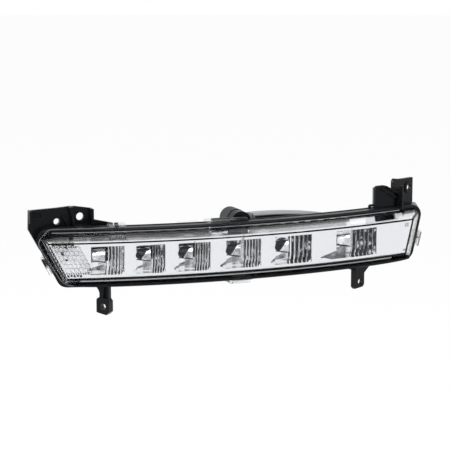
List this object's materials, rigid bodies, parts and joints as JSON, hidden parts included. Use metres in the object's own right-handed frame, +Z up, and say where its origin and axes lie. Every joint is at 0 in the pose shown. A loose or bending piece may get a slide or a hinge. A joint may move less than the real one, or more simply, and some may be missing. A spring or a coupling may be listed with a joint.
{
  "type": "daytime running light",
  "caption": "Slim swept car daytime running light: clear outer lens over bright fluted reflector cups in a black housing with screw brackets, vent cap and plug socket.",
  "frame": {"origin": "middle of the lens front, the lamp's centre of reference", "axes": "+X to the right of someone facing the lamp, +Y back into the car along the direction the lamp is moulded, +Z up; the lens front is swept back towards +X"},
  "size_m": [0.3196, 0.1697, 0.0927],
  "materials": {
    "black_plastic": "moulded satin black",
    "clear_lens": "clear moulded polycarbonate, polished",
    "sealant": "cured black sealing compound",
    "metallised": "vacuum-metallised plastic, bright",
    "clear_optic": "clear moulded polycarbonate with small lenses",
    "sheet_aluminium": "plain folded sheet",
    "circuit_film": "amber flexible film",
    "light_source": "pale phosphor in a white package",
    "circuit_board": "green solder mask",
    "ferrite": "dark ferrite",
    "chip_plastic": "moulded black",
    "capacitor_can": "bright can",
    "contact_metal": "tinned copper alloy",
    "cast_aluminium": "die-cast, light grey",
    "gasket_rubber": "soft black",
    "screw_steel": "zinc plated",
    "cap_rubber": "black rubber",
    "membrane": "white breathable film",
    "grey_plastic": "light grey moulded"
  },
  "bodies": {
    "root": {"housing": "black_plastic", "outer_lens": "clear_lens", "lens_seal": "sealant", "reflector": "metallised", "end_optic": "clear_optic", "heat_sink": "sheet_aluminium", "led_circuit": "circuit_film", "led_1": "light_source", "led_2": "light_source", "led_3": "light_source", "led_4": "light_source", "led_5": "light_source", "led_6": "light_source", "driver_board": "circuit_board", "driver_coil": "ferrite", "driver_chips": "chip_plastic", "driver_capacitors": "capacitor_can", "link_pins": "contact_metal", "driver_cover": "cast_aluminium", "cover_gasket": "gasket_rubber", "cover_screws": "screw_steel", "heat_sink_screws": "screw_steel", "reflector_screws": "screw_steel", "vent_cap": "cap_rubber", "vent_membrane": "membrane", "connector_socket": "grey_plastic", "terminals": "contact_metal"}
  },
  "joints": []
}
